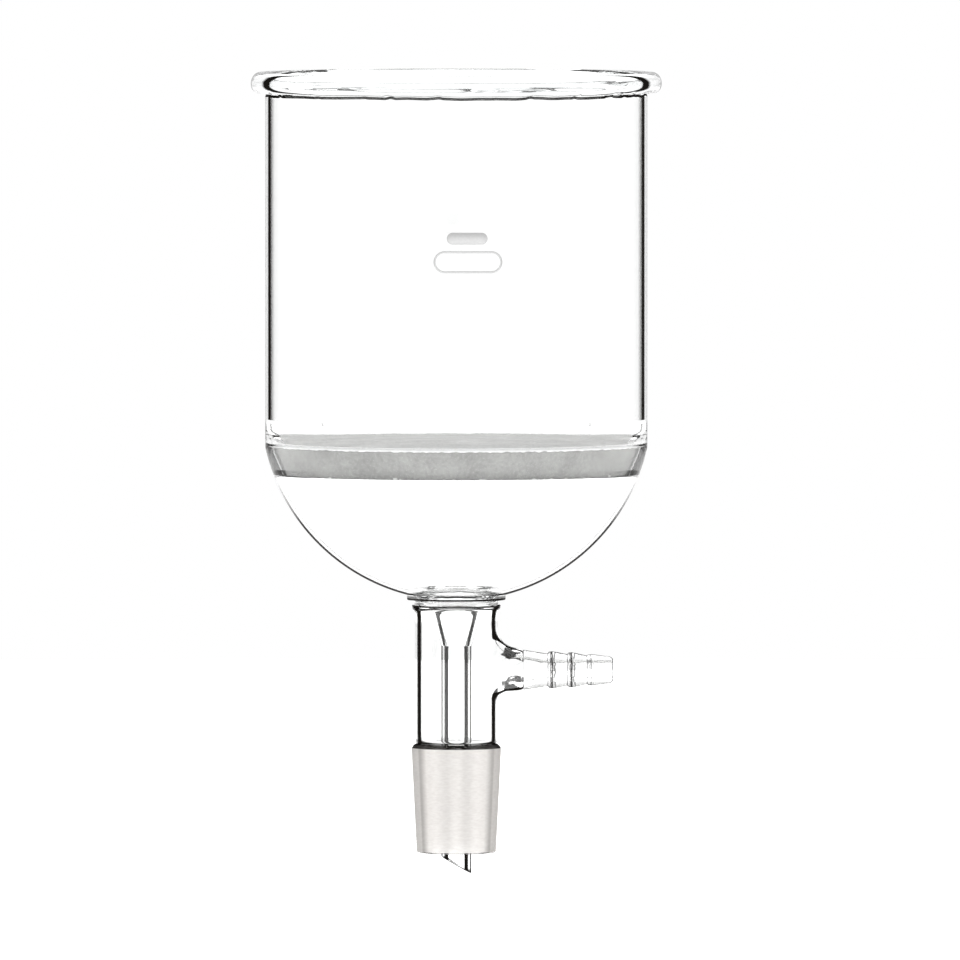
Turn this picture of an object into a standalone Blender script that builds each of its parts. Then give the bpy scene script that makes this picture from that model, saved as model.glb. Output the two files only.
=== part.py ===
"""A Buchner funnel with a sintered glass disc, a side arm for vacuum and a ground cone joint.

Each tube, disc and ring that a glassblower joins is its own object, and a narrow gap stands for
each fused seam. Lengths are in metres and +Z is up. The origin is the centre of the ground cone's
large end, on the funnel's axis, and the hose connector points along +X.
"""

import math

import bmesh
import bpy
from mathutils import Vector

# Seams
GAP = 0.0003
HALF_GAP = GAP / 2

# Ground cone, size 19/22: 18.8 mm across its large end, 22 mm long, taper 1 in 10
CONE_LARGE_R = 0.0094
CONE_LENGTH = 0.0220
CONE_TAPER = 1 / 10
CONE_BORE_SMALL_R = 0.0062
CONE_SHOULDER = 0.0008
CONE_EDGE = 0.0002

# Bowl: an 80 mm tube, closed below by a dome that is part of a sphere
BOWL_R = 0.0400
WALL = 0.0012
DOME_R = 0.04094
DOME_CENTRE_Z = 0.0717

# Rim: a solid bead rolled outward round the mouth, with a narrow flat land on top
RIM_FOOT_Z = 0.1365
RIM_TOP_Z = 0.1415
RIM_R = 0.0430
RIM_BELLY_Z = 0.1390
RIM_LAND = (0.0402, 0.0410)

# Sintered disc, the clear glass fused round its edge, and the meniscus above it
DISC_TOP_Z = 0.0640
DISC_BOTTOM_Z = 0.0575
DISC_TOP_R = 0.0392
DISC_BOTTOM_R = 0.0364
MENISCUS_R = 0.0372
MENISCUS_HEIGHT = 0.0035

# Neck, where the dome, the drip stem and the vacuum sleeve meet in one ring seal
NECK_R = 0.0105
NECK_RIDGE_Z = 0.0315
NECK_WAIST_R = 0.0089
NECK_WAIST_Z = 0.0305
NECK_FOOT_Z = 0.0295
NECK_CEILING = 0.0007
MOUTH_LIP = 0.0026

# Vacuum sleeve, flared at the neck
SLEEVE_R = 0.00865
SLEEVE_BORE_R = 0.0077
SLEEVE_FLARE = 0.0006
SLEEVE_FLARE_HEIGHT = 0.0028

# Drip stem: a tube that opens into a small funnel above and is cut slanting below
STEM_R = 0.00315
STEM_BORE_R = 0.0021
STEM_MOUTH_R = 0.0060
STEM_MOUTH_BORE_R = 0.0048
STEM_NECK_Z = 0.0214
STEM_TIP_Z = -0.0264
STEM_TIP_SLOPE = math.radians(29.5)

# Side port, drawn out of the sleeve on an axis along +X. Each reach is how far the port extends
# above the axis, below it and to either side, where it leaves the sleeve.
PORT_Z = 0.0163
PORT_OUTSIDE = (0.0093, 0.0070, 0.0062)
PORT_INSIDE = (0.0092, 0.0066, 0.0056)
PORT_END_X = 0.0140
PORT_END_R = 0.0042
PORT_END_BORE_R = 0.0025
PORT_END_SLOPE = -0.19

# Hose connector: a short taper, three barbs and a rounded tip
HOSE_BORE_R = 0.00175
BARB_START_X = 0.0192
BARB_START_R = 0.0034
BARB_PITCH = 0.0041
BARB_RISE = 0.0008
BARB_CRESTS = (0.0039, 0.0037, 0.0033)
BARB_VALLEYS = (0.0033, 0.0030, 0.0029)
TIP_X = 0.0329
TIP_LAND_R = 0.0023
TIP_ROUND = 0.0012

# Sides round each turned piece
BOWL_SIDES = 64
NECK_SIDES = 48
TUBE_SIDES = 32

# Colour, roughness and transmission of each glass
CLEAR = ((0.93, 0.95, 0.95, 1.0), 0.02, 1.0)
GROUND = ((0.82, 0.81, 0.80, 1.0), 0.55, 0.6)
SINTERED = ((0.66, 0.66, 0.65, 1.0), 0.90, 0.0)


def clear_scene():
    for obj in list(bpy.data.objects):
        bpy.data.objects.remove(obj)


def glass(name, finish):
    colour, roughness, transmission = finish
    material = bpy.data.materials.new(f"{name}_glass")
    material.use_nodes = True
    inputs = material.node_tree.nodes["Principled BSDF"].inputs
    inputs["Base Color"].default_value = colour
    inputs["Roughness"].default_value = roughness
    inputs["Metallic"].default_value = 0.0
    inputs["Transmission Weight"].default_value = transmission
    return material


def add_object(name, builder, finish):
    """Makes an object of a bmesh, with its faces pointing out and round surfaces shaded smooth."""
    bmesh.ops.recalc_face_normals(builder, faces=builder.faces)
    mesh = bpy.data.meshes.new(name)
    builder.to_mesh(mesh)
    builder.free()
    mesh.shade_smooth()
    mesh.set_sharp_from_angle(angle=math.radians(35))
    mesh.materials.append(glass(name, finish))
    obj = bpy.data.objects.new(name, mesh)
    bpy.context.scene.collection.objects.link(obj)
    return obj


def arc(centre, radii, start, end, steps):
    """Points of an elliptical arc of (radius, height), with angles in degrees from +radius."""
    angles = [math.radians(start + (end - start) * i / steps) for i in range(steps + 1)]
    return [
        (centre[0] + radii[0] * math.cos(a), centre[1] + radii[1] * math.sin(a)) for a in angles
    ]


def ease(start, end, steps):
    """Points whose radius changes along an S-curve while their height changes evenly."""
    points = []
    for i in range(steps + 1):
        share = i / steps
        blend = share * share * (3 - 2 * share)
        points.append(
            (start[0] + (end[0] - start[0]) * blend, start[1] + (end[1] - start[1]) * share)
        )
    return points


def turned(name, outline, sides, finish, closed=True):
    """Spins an outline of (radius, height) about Z. An open outline has both ends on the axis."""
    builder = bmesh.new()
    verts = [builder.verts.new((radius, 0, height)) for radius, height in outline]
    followers = verts[1:] + verts[:1] if closed else verts[1:]
    edges = [builder.edges.new(pair) for pair in zip(verts, followers)]
    bmesh.ops.spin(
        builder,
        geom=verts + edges,
        axis=(0, 0, 1),
        cent=(0, 0, 0),
        angle=math.tau,
        steps=sides,
        use_merge=True,
    )
    bmesh.ops.remove_doubles(builder, verts=builder.verts, dist=1e-7)
    return add_object(name, builder, finish)


def sphere_r(radius, height):
    """Distance from the axis of the dome's sphere, at a height."""
    return math.sqrt(radius**2 - (height - DOME_CENTRE_Z) ** 2)


def sphere_z(radius, across):
    """Height of the lower half of the dome's sphere, at a distance from the axis."""
    return DOME_CENTRE_Z - math.sqrt(radius**2 - across**2)


def rim_bead():
    bore_r = BOWL_R - WALL
    top_height = RIM_TOP_Z - RIM_BELLY_Z
    under_r = BOWL_R + 0.0009
    under_height = RIM_BELLY_Z - RIM_FOOT_Z - 0.0005
    inner_round = RIM_LAND[0] - bore_r
    outline = [(BOWL_R, RIM_FOOT_Z + HALF_GAP), (BOWL_R, RIM_FOOT_Z + 0.0004)]
    outline += arc((under_r, RIM_BELLY_Z), (RIM_R - under_r, under_height), -90, 0, 5)
    outline += arc((RIM_LAND[1], RIM_BELLY_Z), (RIM_R - RIM_LAND[1], top_height), 0, 90, 5)[1:]
    outline += arc(
        (RIM_LAND[0], RIM_TOP_Z - inner_round), (inner_round, inner_round), 90, 180, 4
    )
    outline.append((bore_r, RIM_FOOT_Z + HALF_GAP))
    return turned("rim_bead", outline, BOWL_SIDES, CLEAR)


def bowl_tube():
    """The bowl's straight wall, thickened inside its foot by the meniscus round the disc."""
    foot = DISC_TOP_Z + GAP
    bore_r = BOWL_R - WALL
    outline = [(BOWL_R, foot), (BOWL_R, RIM_FOOT_Z - HALF_GAP), (bore_r, RIM_FOOT_Z - HALF_GAP)]
    outline += ease((bore_r, foot + MENISCUS_HEIGHT), (MENISCUS_R, foot), 5)
    return turned("bowl_tube", outline, BOWL_SIDES, CLEAR)


def fritted_disc():
    outline = [
        (0, DISC_TOP_Z),
        (DISC_TOP_R, DISC_TOP_Z),
        (DISC_BOTTOM_R, DISC_BOTTOM_Z),
        (0, DISC_BOTTOM_Z),
    ]
    return turned("fritted_disc", outline, BOWL_SIDES, SINTERED, closed=False)


def disc_seal():
    """Clear glass fused round the disc. Outside, it joins the tube's wall to the dome's."""
    knee = sphere_z(DOME_R, BOWL_R)
    outline = [(BOWL_R, DISC_TOP_Z), (BOWL_R, knee)]
    for share in (1 / 3, 2 / 3, 1):
        height = knee + (DISC_BOTTOM_Z - knee) * share
        outline.append((sphere_r(DOME_R, height), height))
    outline += [(DISC_BOTTOM_R + GAP, DISC_BOTTOM_Z), (DISC_TOP_R + GAP, DISC_TOP_Z)]
    return turned("disc_seal", outline, BOWL_SIDES, CLEAR)


def filtrate_dome():
    """The spherical underside that collects the filtrate, open above and at the neck."""
    outside, inside = DOME_R, DOME_R - WALL
    top = DISC_BOTTOM_Z - GAP

    def top_angle(radius):
        return -math.degrees(math.asin((DOME_CENTRE_Z - top) / radius))

    def neck_angle(radius):
        return -math.degrees(math.acos((NECK_R + HALF_GAP) / radius))

    centre = (0, DOME_CENTRE_Z)
    outline = arc(centre, (outside, outside), top_angle(outside), neck_angle(outside), 9)
    outline += arc(centre, (inside, inside), neck_angle(inside), top_angle(inside), 9)
    return turned("filtrate_dome", outline, BOWL_SIDES, CLEAR)


def neck_ring_seal():
    """The ring of glass that carries the sleeve outside and the mouth of the stem inside."""
    dome_r = NECK_R - HALF_GAP
    foot = NECK_FOOT_Z + HALF_GAP
    top_r, bore_r = SLEEVE_R + SLEEVE_FLARE, SLEEVE_BORE_R + SLEEVE_FLARE
    inner_z = sphere_z(DOME_R - WALL, dome_r)
    lip_r = STEM_MOUTH_BORE_R + MOUTH_LIP
    lip_z = sphere_z(DOME_R - WALL, lip_r)
    outline = [(dome_r, NECK_RIDGE_Z), (dome_r, sphere_z(DOME_R, dome_r)), (dome_r, inner_z)]
    outline += arc((lip_r, foot), (MOUTH_LIP, lip_z - foot), 90, 180, 5)
    outline += [(STEM_MOUTH_R, foot), (STEM_MOUTH_R + NECK_CEILING, foot + NECK_CEILING)]
    outline += [(bore_r - NECK_CEILING, foot + NECK_CEILING), (bore_r, foot), (top_r, foot)]
    outline += [(top_r, foot + 0.0003), (NECK_WAIST_R, NECK_WAIST_Z)]
    return turned("neck_ring_seal", outline, NECK_SIDES, CLEAR)


def drip_stem():
    """The inner tube, which carries the filtrate past the port to a tip cut on the slant."""
    top = NECK_FOOT_Z - HALF_GAP
    overcut_z = STEM_TIP_Z - STEM_R
    outline = [
        (STEM_BORE_R, overcut_z),
        (STEM_R, overcut_z),
        (STEM_R, STEM_NECK_Z),
        (STEM_MOUTH_R, top),
        (STEM_MOUTH_BORE_R, top),
        (STEM_BORE_R, STEM_NECK_Z),
    ]
    stem = turned("drip_stem", outline, TUBE_SIDES, CLEAR)
    cut_slanting(stem)
    return stem


def cut_slanting(stem):
    """Cuts the stem's lower end along a plane that is lowest at +X, and closes the cut wall."""
    normal = Vector((math.sin(STEM_TIP_SLOPE), 0, math.cos(STEM_TIP_SLOPE)))
    builder = bmesh.new()
    builder.from_mesh(stem.data)
    cut = bmesh.ops.bisect_plane(
        builder,
        geom=builder.verts[:] + builder.edges[:] + builder.faces[:],
        plane_co=(STEM_R, 0, STEM_TIP_Z),
        plane_no=normal,
        clear_inner=True,
    )
    edges = [item for item in cut["geom_cut"] if isinstance(item, bmesh.types.BMEdge)]
    bmesh.ops.bridge_loops(builder, edges=edges)
    bmesh.ops.recalc_face_normals(builder, faces=builder.faces)
    builder.to_mesh(stem.data)
    builder.free()


def port_start(reach, angle):
    """Radius of the oval where the port leaves the sleeve, at an angle above horizontal."""
    above, below, beside = reach
    tall = above if math.sin(angle) > 0 else below
    return 1 / math.hypot(math.cos(angle) / beside, math.sin(angle) / tall)


def port_curve(tube_r, reach, end_r, angle, steps):
    """(x, radius) points of the port's surface at an angle round its axis.

    The curve leaves the sleeve's surface along that surface, and turns until it runs out along +X
    with the port's end slope.
    """
    start_r = port_start(reach, angle)
    start = Vector((math.sqrt(tube_r**2 - (start_r * math.cos(angle)) ** 2), start_r))
    end = Vector((PORT_END_X, end_r))
    slope = start_r * math.cos(angle) ** 2 / start.x
    pull = (end - start).length * 1.5
    leave = Vector((slope, -1)).normalized() * pull
    arrive = Vector((1, PORT_END_SLOPE)).normalized() * pull
    points = []
    for i in range(steps + 1):
        t = i / steps
        points.append(
            start * (1 + 2 * t) * (1 - t) ** 2
            + end * t * t * (3 - 2 * t)
            + leave * t * (1 - t) ** 2
            - arrive * t * t * (1 - t)
        )
    return points


def port_solid(name, tube_r, reach, end_r, overrun):
    """A plug in the shape of the port, from inside the sleeve to a round end face."""
    steps = 7
    angles = [math.tau * i / TUBE_SIDES for i in range(TUBE_SIDES)]
    curves = [port_curve(tube_r, reach, end_r, angle, steps) for angle in angles]
    for curve in curves:
        curve.insert(0, Vector((STEM_R, curve[0].y)))
        if overrun:
            curve.append(curve[-1] + Vector((overrun, 0)))
    builder = bmesh.new()
    rings = []
    for k in range(len(curves[0])):
        ring = []
        for angle, curve in zip(angles, curves):
            x, radius = curve[k]
            point = (x, radius * math.cos(angle), PORT_Z + radius * math.sin(angle))
            ring.append(builder.verts.new(point))
        rings.append(ring)
    for ring, following in zip(rings, rings[1:]):
        for i in range(TUBE_SIDES):
            j = (i + 1) % TUBE_SIDES
            builder.faces.new((ring[i], ring[j], following[j], following[i]))
    builder.faces.new(rings[0])
    builder.faces.new(rings[-1])
    return add_object(name, builder, CLEAR)


def combine(obj, guide, operation):
    """Adds guide's shape to obj or takes it away, and keeps guide as a hidden object."""
    guide.hide_render = True
    guide.display_type = "WIRE"
    boolean = obj.modifiers.new(guide.name, "BOOLEAN")
    boolean.operation = operation
    boolean.solver = "EXACT"
    boolean.object = guide


def sleeve_outline(radius, overrun):
    """One side of the sleeve, from the axis at its foot to the axis at its top."""
    foot, top = CONE_SHOULDER + GAP, NECK_FOOT_Z - HALF_GAP
    outline = [(0, foot - overrun), (radius, foot - overrun)]
    outline += ease((radius, top - SLEEVE_FLARE_HEIGHT), (radius + SLEEVE_FLARE, top), 4)
    if overrun:
        outline.append((radius + SLEEVE_FLARE, top + overrun))
    outline.append((0, top + overrun))
    return outline


def vacuum_sleeve():
    """The outer tube round the stem, with the port that is drawn out of its side."""
    past = 0.001
    sleeve = turned("vacuum_sleeve", sleeve_outline(SLEEVE_R, 0), NECK_SIDES, CLEAR, closed=False)
    port = port_solid("port_shape", SLEEVE_R, PORT_OUTSIDE, PORT_END_R, 0)
    combine(sleeve, port, "UNION")
    bore_outline = sleeve_outline(SLEEVE_BORE_R, past)
    bore = turned("sleeve_bore_cut", bore_outline, NECK_SIDES, CLEAR, closed=False)
    combine(sleeve, bore, "DIFFERENCE")
    port_bore = port_solid("port_bore_cut", SLEEVE_BORE_R, PORT_INSIDE, PORT_END_BORE_R, past)
    combine(sleeve, port_bore, "DIFFERENCE")
    return sleeve


def hose_connector():
    """The barbed end for a vacuum hose, turned about Z and then laid along +X."""
    start = PORT_END_X + GAP
    outline = [(HOSE_BORE_R, BARB_START_X), (PORT_END_BORE_R, start), (PORT_END_R, start)]
    outline.append((BARB_START_R, BARB_START_X))
    for i, (crest, valley) in enumerate(zip(BARB_CRESTS, BARB_VALLEYS)):
        foot = BARB_START_X + i * BARB_PITCH
        outline += ease(outline[-1], (crest, foot + BARB_RISE), 3)[1:]
        outline.append((valley, min(foot + BARB_PITCH, TIP_X - TIP_ROUND)))
    tip_r = BARB_VALLEYS[-1] - TIP_LAND_R
    outline += arc((TIP_LAND_R, TIP_X - TIP_ROUND), (tip_r, TIP_ROUND), 0, 90, 4)[1:]
    outline.append((HOSE_BORE_R, TIP_X))
    connector = turned("hose_connector", outline, TUBE_SIDES, CLEAR)
    connector.location = (0, 0, PORT_Z)
    connector.rotation_euler = (0, math.pi / 2, 0)
    return connector


def ground_cone():
    """The ground joint: a rounded shoulder, then the taper down to a flat small end."""
    small_r = CONE_LARGE_R - CONE_LENGTH * CONE_TAPER / 2
    edge_r = small_r + CONE_EDGE * CONE_TAPER / 2
    outline = ease((SLEEVE_R, CONE_SHOULDER), (CONE_LARGE_R, 0), 3)
    outline += [
        (edge_r, CONE_EDGE - CONE_LENGTH),
        (small_r - CONE_EDGE, -CONE_LENGTH),
        (CONE_BORE_SMALL_R, -CONE_LENGTH),
        (SLEEVE_BORE_R, CONE_SHOULDER),
    ]
    return turned("ground_cone", outline, NECK_SIDES, GROUND)


def main():
    clear_scene()
    rim_bead()
    bowl_tube()
    fritted_disc()
    disc_seal()
    filtrate_dome()
    neck_ring_seal()
    drip_stem()
    vacuum_sleeve()
    hose_connector()
    ground_cone()


main()
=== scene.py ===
"""The looks of a Buchner funnel: lampworked clear glass, a sintered disc and a ground cone.

Each CAD piece is replaced by a finer one. Profiles are lists of (radius, height, corner radius),
in metres, turned about the funnel's axis.
"""

import math

import bmesh
import bpy
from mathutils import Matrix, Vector, noise

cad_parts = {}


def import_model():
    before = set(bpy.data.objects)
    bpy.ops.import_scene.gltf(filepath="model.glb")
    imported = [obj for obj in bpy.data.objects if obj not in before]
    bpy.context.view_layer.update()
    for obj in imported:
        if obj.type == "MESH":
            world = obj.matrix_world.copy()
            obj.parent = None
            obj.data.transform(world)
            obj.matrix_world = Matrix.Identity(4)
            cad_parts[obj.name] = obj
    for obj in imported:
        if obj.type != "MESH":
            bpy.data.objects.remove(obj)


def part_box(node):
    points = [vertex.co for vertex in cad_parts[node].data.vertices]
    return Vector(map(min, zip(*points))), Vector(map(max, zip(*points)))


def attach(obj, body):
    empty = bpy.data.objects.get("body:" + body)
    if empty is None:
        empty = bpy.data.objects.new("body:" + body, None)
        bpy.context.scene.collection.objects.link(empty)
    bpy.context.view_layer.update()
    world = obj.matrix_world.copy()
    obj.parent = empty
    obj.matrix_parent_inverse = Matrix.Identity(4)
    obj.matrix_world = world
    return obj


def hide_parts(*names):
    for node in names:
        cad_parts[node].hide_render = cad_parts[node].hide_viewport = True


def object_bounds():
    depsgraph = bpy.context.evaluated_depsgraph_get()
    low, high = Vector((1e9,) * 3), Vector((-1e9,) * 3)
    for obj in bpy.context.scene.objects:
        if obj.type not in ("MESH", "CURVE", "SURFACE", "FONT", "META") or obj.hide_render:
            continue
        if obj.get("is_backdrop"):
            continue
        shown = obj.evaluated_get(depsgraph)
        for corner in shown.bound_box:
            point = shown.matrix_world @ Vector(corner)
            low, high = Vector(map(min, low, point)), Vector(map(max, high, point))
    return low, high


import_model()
cad_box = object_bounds()

# Places and sizes that the frame gives
RIM_LOW, RIM_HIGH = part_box("rim_bead")
BOWL_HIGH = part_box("bowl_tube")[1]
DISC_LOW, DISC_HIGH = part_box("fritted_disc")
SEAL_LOW, SEAL_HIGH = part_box("disc_seal")
DOME_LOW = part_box("filtrate_dome")[0]
NECK_LOW, NECK_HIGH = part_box("neck_ring_seal")
SLEEVE_LOW, SLEEVE_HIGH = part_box("vacuum_sleeve")
STEM_LOW, STEM_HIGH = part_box("drip_stem")
HOSE_LOW, HOSE_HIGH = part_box("hose_connector")
CONE_LOW, CONE_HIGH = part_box("ground_cone")

BOWL_R = BOWL_HIGH.x
PORT_Z = (HOSE_LOW.z + HOSE_HIGH.z) / 2

# The gap between neighbouring pieces, the radius of a small fire-polished edge, and how far from
# a flat end a face may lie and still be part of it
SEAM = 0.00002
MELT = 0.0001
FLAT = 0.00005

# Sizes of the glass itself
WALL = 0.0008
DOME_R = 0.04094
DOME_CENTRE_Z = 0.0717
SLEEVE_R = 0.00865
SLEEVE_BORE_R = 0.00775
STEM_R = 0.00315
STEM_BORE_R = 0.0021
STEM_NECK_Z = 0.0214
STEM_CUT = math.tan(math.radians(29.5))

# The sintered disc: the radii of its slanting side above and below, and of its top face inside
# the white band of painted highlight round its edge. Then the places of its looks.
DISC_EDGE = (DISC_HIGH.x, DISC_HIGH.x - 0.0028)
DISC_FACE_R = DISC_HIGH.x - 0.0018
DISC_CHAMFER = 0.0007
DISC_FACE, DISC_HIGHLIGHT, DISC_SIDE = 0, 1, 2

# Radii for which the painted dark lines of the bowl's bore, the funnel, the barbs and the cone are
# set
LINE_BORE_R = 0.039
LINE_FUNNEL_R = 0.0048
LINE_BARB_R = 0.0034
LINE_BARB_BORE_R = 0.0017
LINE_CONE_R = 0.0089

GLASS_IOR = 1.474
# Round the disc the glass bends light little, because it is fused to the disc with no gap
SKIN_IOR = 1.06

# Places in a piece's list of glasses. CREASE paints shade on creases, seams and steps. EXTRA is
# its foot, its funnel or a lighter painted shade on creases, and FILLET is the bowl's alone.
OUTSIDE, INSIDE, CREASE, EXTRA, FILLET = 0, 1, 2, 3, 4


# Outlines ------------------------------------------------------------------------------------

def arc(centre, radii, start, end, steps):
    """Points of an elliptical arc, with angles in degrees from +radius."""
    angles = [math.radians(start + (end - start) * i / steps) for i in range(steps + 1)]
    return [
        (centre[0] + radii[0] * math.cos(a), centre[1] + radii[1] * math.sin(a)) for a in angles
    ]


def corner(before, at, after, radius, steps=6):
    """The points that round one corner of an outline."""
    at, before, after = Vector(at), Vector(before), Vector(after)
    back, ahead = before - at, after - at
    turn = back.angle(ahead)
    if radius <= 0 or turn > math.radians(179):
        return [at]
    reach = min(radius / math.tan(turn / 2), back.length * 0.45, ahead.length * 0.45)
    start, end = at + back.normalized() * reach, at + ahead.normalized() * reach
    points = []
    for i in range(steps + 1):
        t = i / steps
        points.append(start * (1 - t) ** 2 + at * (2 * t * (1 - t)) + end * t * t)
    return points


def soften(points, step):
    """Rounds each corner of (radius, height[, corner radius]) and divides the long edges.

    A close pair of points beside each corner keeps the shading of the straight stretch straight.
    """
    flat = [Vector(p[:2]) for p in points]
    rounded = []
    for i, point in enumerate(points):
        radius = point[2] if len(point) > 2 else 0
        rounded += corner(flat[i - 1], flat[i], flat[(i + 1) % len(flat)], radius)
    finished = []
    for start, end in zip(rounded, rounded[1:] + rounded[:1]):
        length = (end - start).length
        finished.append(start)
        if length > step * 1.5:
            margin = min(step / 4, length / 6)
            count = max(1, math.ceil((length - 2 * margin) / step))
            for k in range(count + 1):
                share = (margin + (length - 2 * margin) * k / count) / length
                finished.append(start.lerp(end, share))
    return finished


def dome_r(radius, height):
    return math.sqrt(radius**2 - (height - DOME_CENTRE_Z) ** 2)


def dome_z(radius, across):
    return DOME_CENTRE_Z - math.sqrt(radius**2 - across**2)


def sway(angle, height, scale, seed):
    """Smooth noise, about -1 to 1, that joins up round the axis."""
    spot = Vector((math.cos(angle) * scale, math.sin(angle) * scale, height * 1000 + seed * 17.3))
    return noise.noise(spot)


# Pieces --------------------------------------------------------------------------------------

def add_piece(name, verts, faces, finishes, materials):
    """Makes an object of a closed mesh. finishes gives each face the index of its material.

    Points that meet are joined, and the faces are turned outward.
    """
    mesh = bpy.data.meshes.new(name)
    mesh.from_pydata(verts, [], faces)
    mesh.validate()
    for material in materials:
        mesh.materials.append(material)
    for face, finish in zip(mesh.polygons, finishes):
        face.material_index = finish
    mesh.shade_smooth()
    builder = bmesh.new()
    builder.from_mesh(mesh)
    bmesh.ops.remove_doubles(builder, verts=builder.verts, dist=2e-6)
    bmesh.ops.recalc_face_normals(builder, faces=builder.faces)
    builder.to_mesh(mesh)
    builder.free()
    obj = bpy.data.objects.new(name, mesh)
    bpy.context.scene.collection.objects.link(obj)
    return obj


def turned(name, outline, sides, materials, finish, warp=None, axis="Z"):
    """Spins a closed outline. warp(angle, radius, height) gives the changes in both.

    finish(radius, height) gives a face's place in materials.
    """
    verts, faces, finishes = [], [], []
    count = len(outline)
    for i in range(sides):
        angle = math.tau * i / sides
        for radius, height in outline:
            grow, lift = warp(angle, radius, height) if warp else (0, 0)
            r, z = radius + grow, height + lift
            verts.append((r * math.cos(angle), r * math.sin(angle), z))
    for i in range(sides):
        j = (i + 1) % sides
        for k in range(count):
            m = (k + 1) % count
            faces.append((i * count + k, j * count + k, j * count + m, i * count + m))
            middle = (Vector(outline[k]) + Vector(outline[m])) / 2
            finishes.append(finish(*middle))
    if axis == "X":
        verts = [(z, -y, PORT_Z + x) for x, y, z in verts]
    return add_piece(name, verts, faces, finishes, materials)


def finish_piece(piece, slot, *nodes):
    """Rides the piece on the funnel's one body, and hides the CAD nodes that it stands for."""
    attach(piece, "root")
    if nodes:
        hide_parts(*nodes)
    return piece


def weld_wave(angle):
    """How far the weld under the rim wanders up and down, with a kink here and there."""
    kinks = max(0, sway(angle, 0, 16, 21) - 0.25)
    return 0.00030 * sway(angle, 0, 7, 2) + 0.0011 * kinks


def rim():
    foot = RIM_LOW.z
    top, outer, bore = RIM_HIGH.z, RIM_HIGH.x, BOWL_R - WALL
    belly = top - 0.0024
    points = [(BOWL_R - 0.0003, foot, 0.00006), (BOWL_R + 0.00005, foot + 0.0003, MELT)]
    points += [(BOWL_R + 0.0005, foot + 0.0010, 0.001)]
    points += arc((outer - 0.0016, belly), (0.0016, 0.0020), -80, 0, 12)
    points += arc((outer - 0.0019, belly), (0.0019, 0.0024), 8, 90, 12)
    points += arc((bore + 0.0018, top - 0.0012), (0.0014, 0.0012), 90, 165, 10)
    points += [(bore + 0.0009, top - 0.0026, 0.0012), (bore + 0.0002, top - 0.0040, 0.002)]
    points += [(bore, foot, MELT)]

    def finish(r, z):
        # The weld line under the bead is painted dark (CREASE): painted shade.
        if r < BOWL_R + 0.0001 and r > bore + 0.0001 and z < foot + 0.0003:
            return CREASE
        return INSIDE if r < bore + 0.00085 and z < top - 0.0009 else OUTSIDE

    def warp(angle, radius, height):
        low = max(0, 1 - (height - foot) / 0.0012)
        return 0.00006 * sway(angle, height, 3, 1), low * weld_wave(angle)

    piece = turned("rim", soften(points, 0.0006), 720, BEAD, finish, warp)
    return finish_piece(piece, "clear_glass", "rim_bead")


def bowl():
    foot, top = SEAL_HIGH.z + SEAM, RIM_LOW.z - SEAM
    bore = BOWL_R - WALL
    fillet_top = foot + 0.0042
    points = [
        (BOWL_R, foot, MELT),
        (BOWL_R, top - 0.00025, MELT),
        (BOWL_R - 0.0003, top, 0.00006),
        (bore, top, MELT),
        (bore, fillet_top, 0.003),
        (bore - 0.0002, foot + 0.0022, 0.002),
        (bore - 0.0010, foot + 0.0010, 0.001),
        (DISC_FACE_R, foot, MELT),
    ]

    def finish(r, z):
        # The seam under the rim is painted dark (CREASE); the foot and the fillet carry painted
        # dark lines.
        if z > top - 0.00027 and r > bore + 0.0001:
            return CREASE
        if z < fillet_top:
            return EXTRA if r > BOWL_R - 0.0001 else FILLET
        return INSIDE if r < bore + 0.0001 else OUTSIDE

    def warp(angle, radius, height):
        high = max(0, 1 - (top - height) / 0.001)
        low = max(0, 1 - (height - foot) / 0.003) if radius < bore - 0.0001 else 0
        return low * 0.00008 * sway(angle, 0, 12, 3), high * weld_wave(angle)

    piece = turned("bowl", soften(points, 0.0022), 720, GLASS, finish, warp)
    return finish_piece(piece, "clear_glass", "bowl_tube")


def disc_skin():
    """The clear glass fused round the disc's edge."""
    top, foot = SEAL_HIGH.z, SEAL_LOW.z
    knee = dome_z(DOME_R, BOWL_R)
    points = [(BOWL_R, top, MELT), (BOWL_R, knee)]
    points += [(dome_r(DOME_R, z), z) for z in (knee - (knee - foot) * k / 6 for k in range(1, 6))]
    points += [(dome_r(DOME_R, foot), foot, MELT), (DISC_EDGE[1] + 0.00012, foot, MELT)]
    points += [(DISC_EDGE[0] + 0.00012, top - 0.0006, 0.0002), (DISC_EDGE[0] - 0.0002, top, MELT)]

    def finish(r, z):
        is_flat = z > top - FLAT or z < foot + FLAT
        return INSIDE if is_flat or r < min(BOWL_R, dome_r(DOME_R, z)) - 0.0003 else OUTSIDE

    piece = turned("disc_skin", soften(points, 0.0012), 256, SKIN, finish)
    return finish_piece(piece, "clear_glass", "disc_seal")


def dome():
    top = SEAL_LOW.z - SEAM
    inner_r = DOME_R - WALL
    neck = NECK_HIGH.x + 0.0001

    def angle_at(radius, across):
        return -math.degrees(math.acos(across / radius))

    centre = (0, DOME_CENTRE_Z)
    outer_top = -math.degrees(math.asin((DOME_CENTRE_Z - top) / DOME_R))
    inner_top = -math.degrees(math.asin((DOME_CENTRE_Z - top) / inner_r))
    steps = 48
    points = arc(centre, (DOME_R, DOME_R), outer_top, angle_at(DOME_R, neck), steps)
    points += arc(centre, (inner_r, inner_r), angle_at(inner_r, neck), inner_top, steps)
    ends = (0, steps, steps + 1, 2 * steps + 1)
    points = [p + (MELT,) if i in ends else p for i, p in enumerate(points)]

    def warp(angle, radius, height):
        low = max(0, 1 - (height - DOME_LOW.z) / 0.003)
        return low * 0.00005 * sway(angle, 0, 3, 6), 0

    def finish(r, z):
        return INSIDE if math.hypot(r, z - DOME_CENTRE_Z) < DOME_R - WALL / 2 else OUTSIDE

    piece = turned("dome", soften(points, 0.0015), 256, DOME, finish, warp)
    return finish_piece(piece, "clear_glass", "filtrate_dome")


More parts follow.
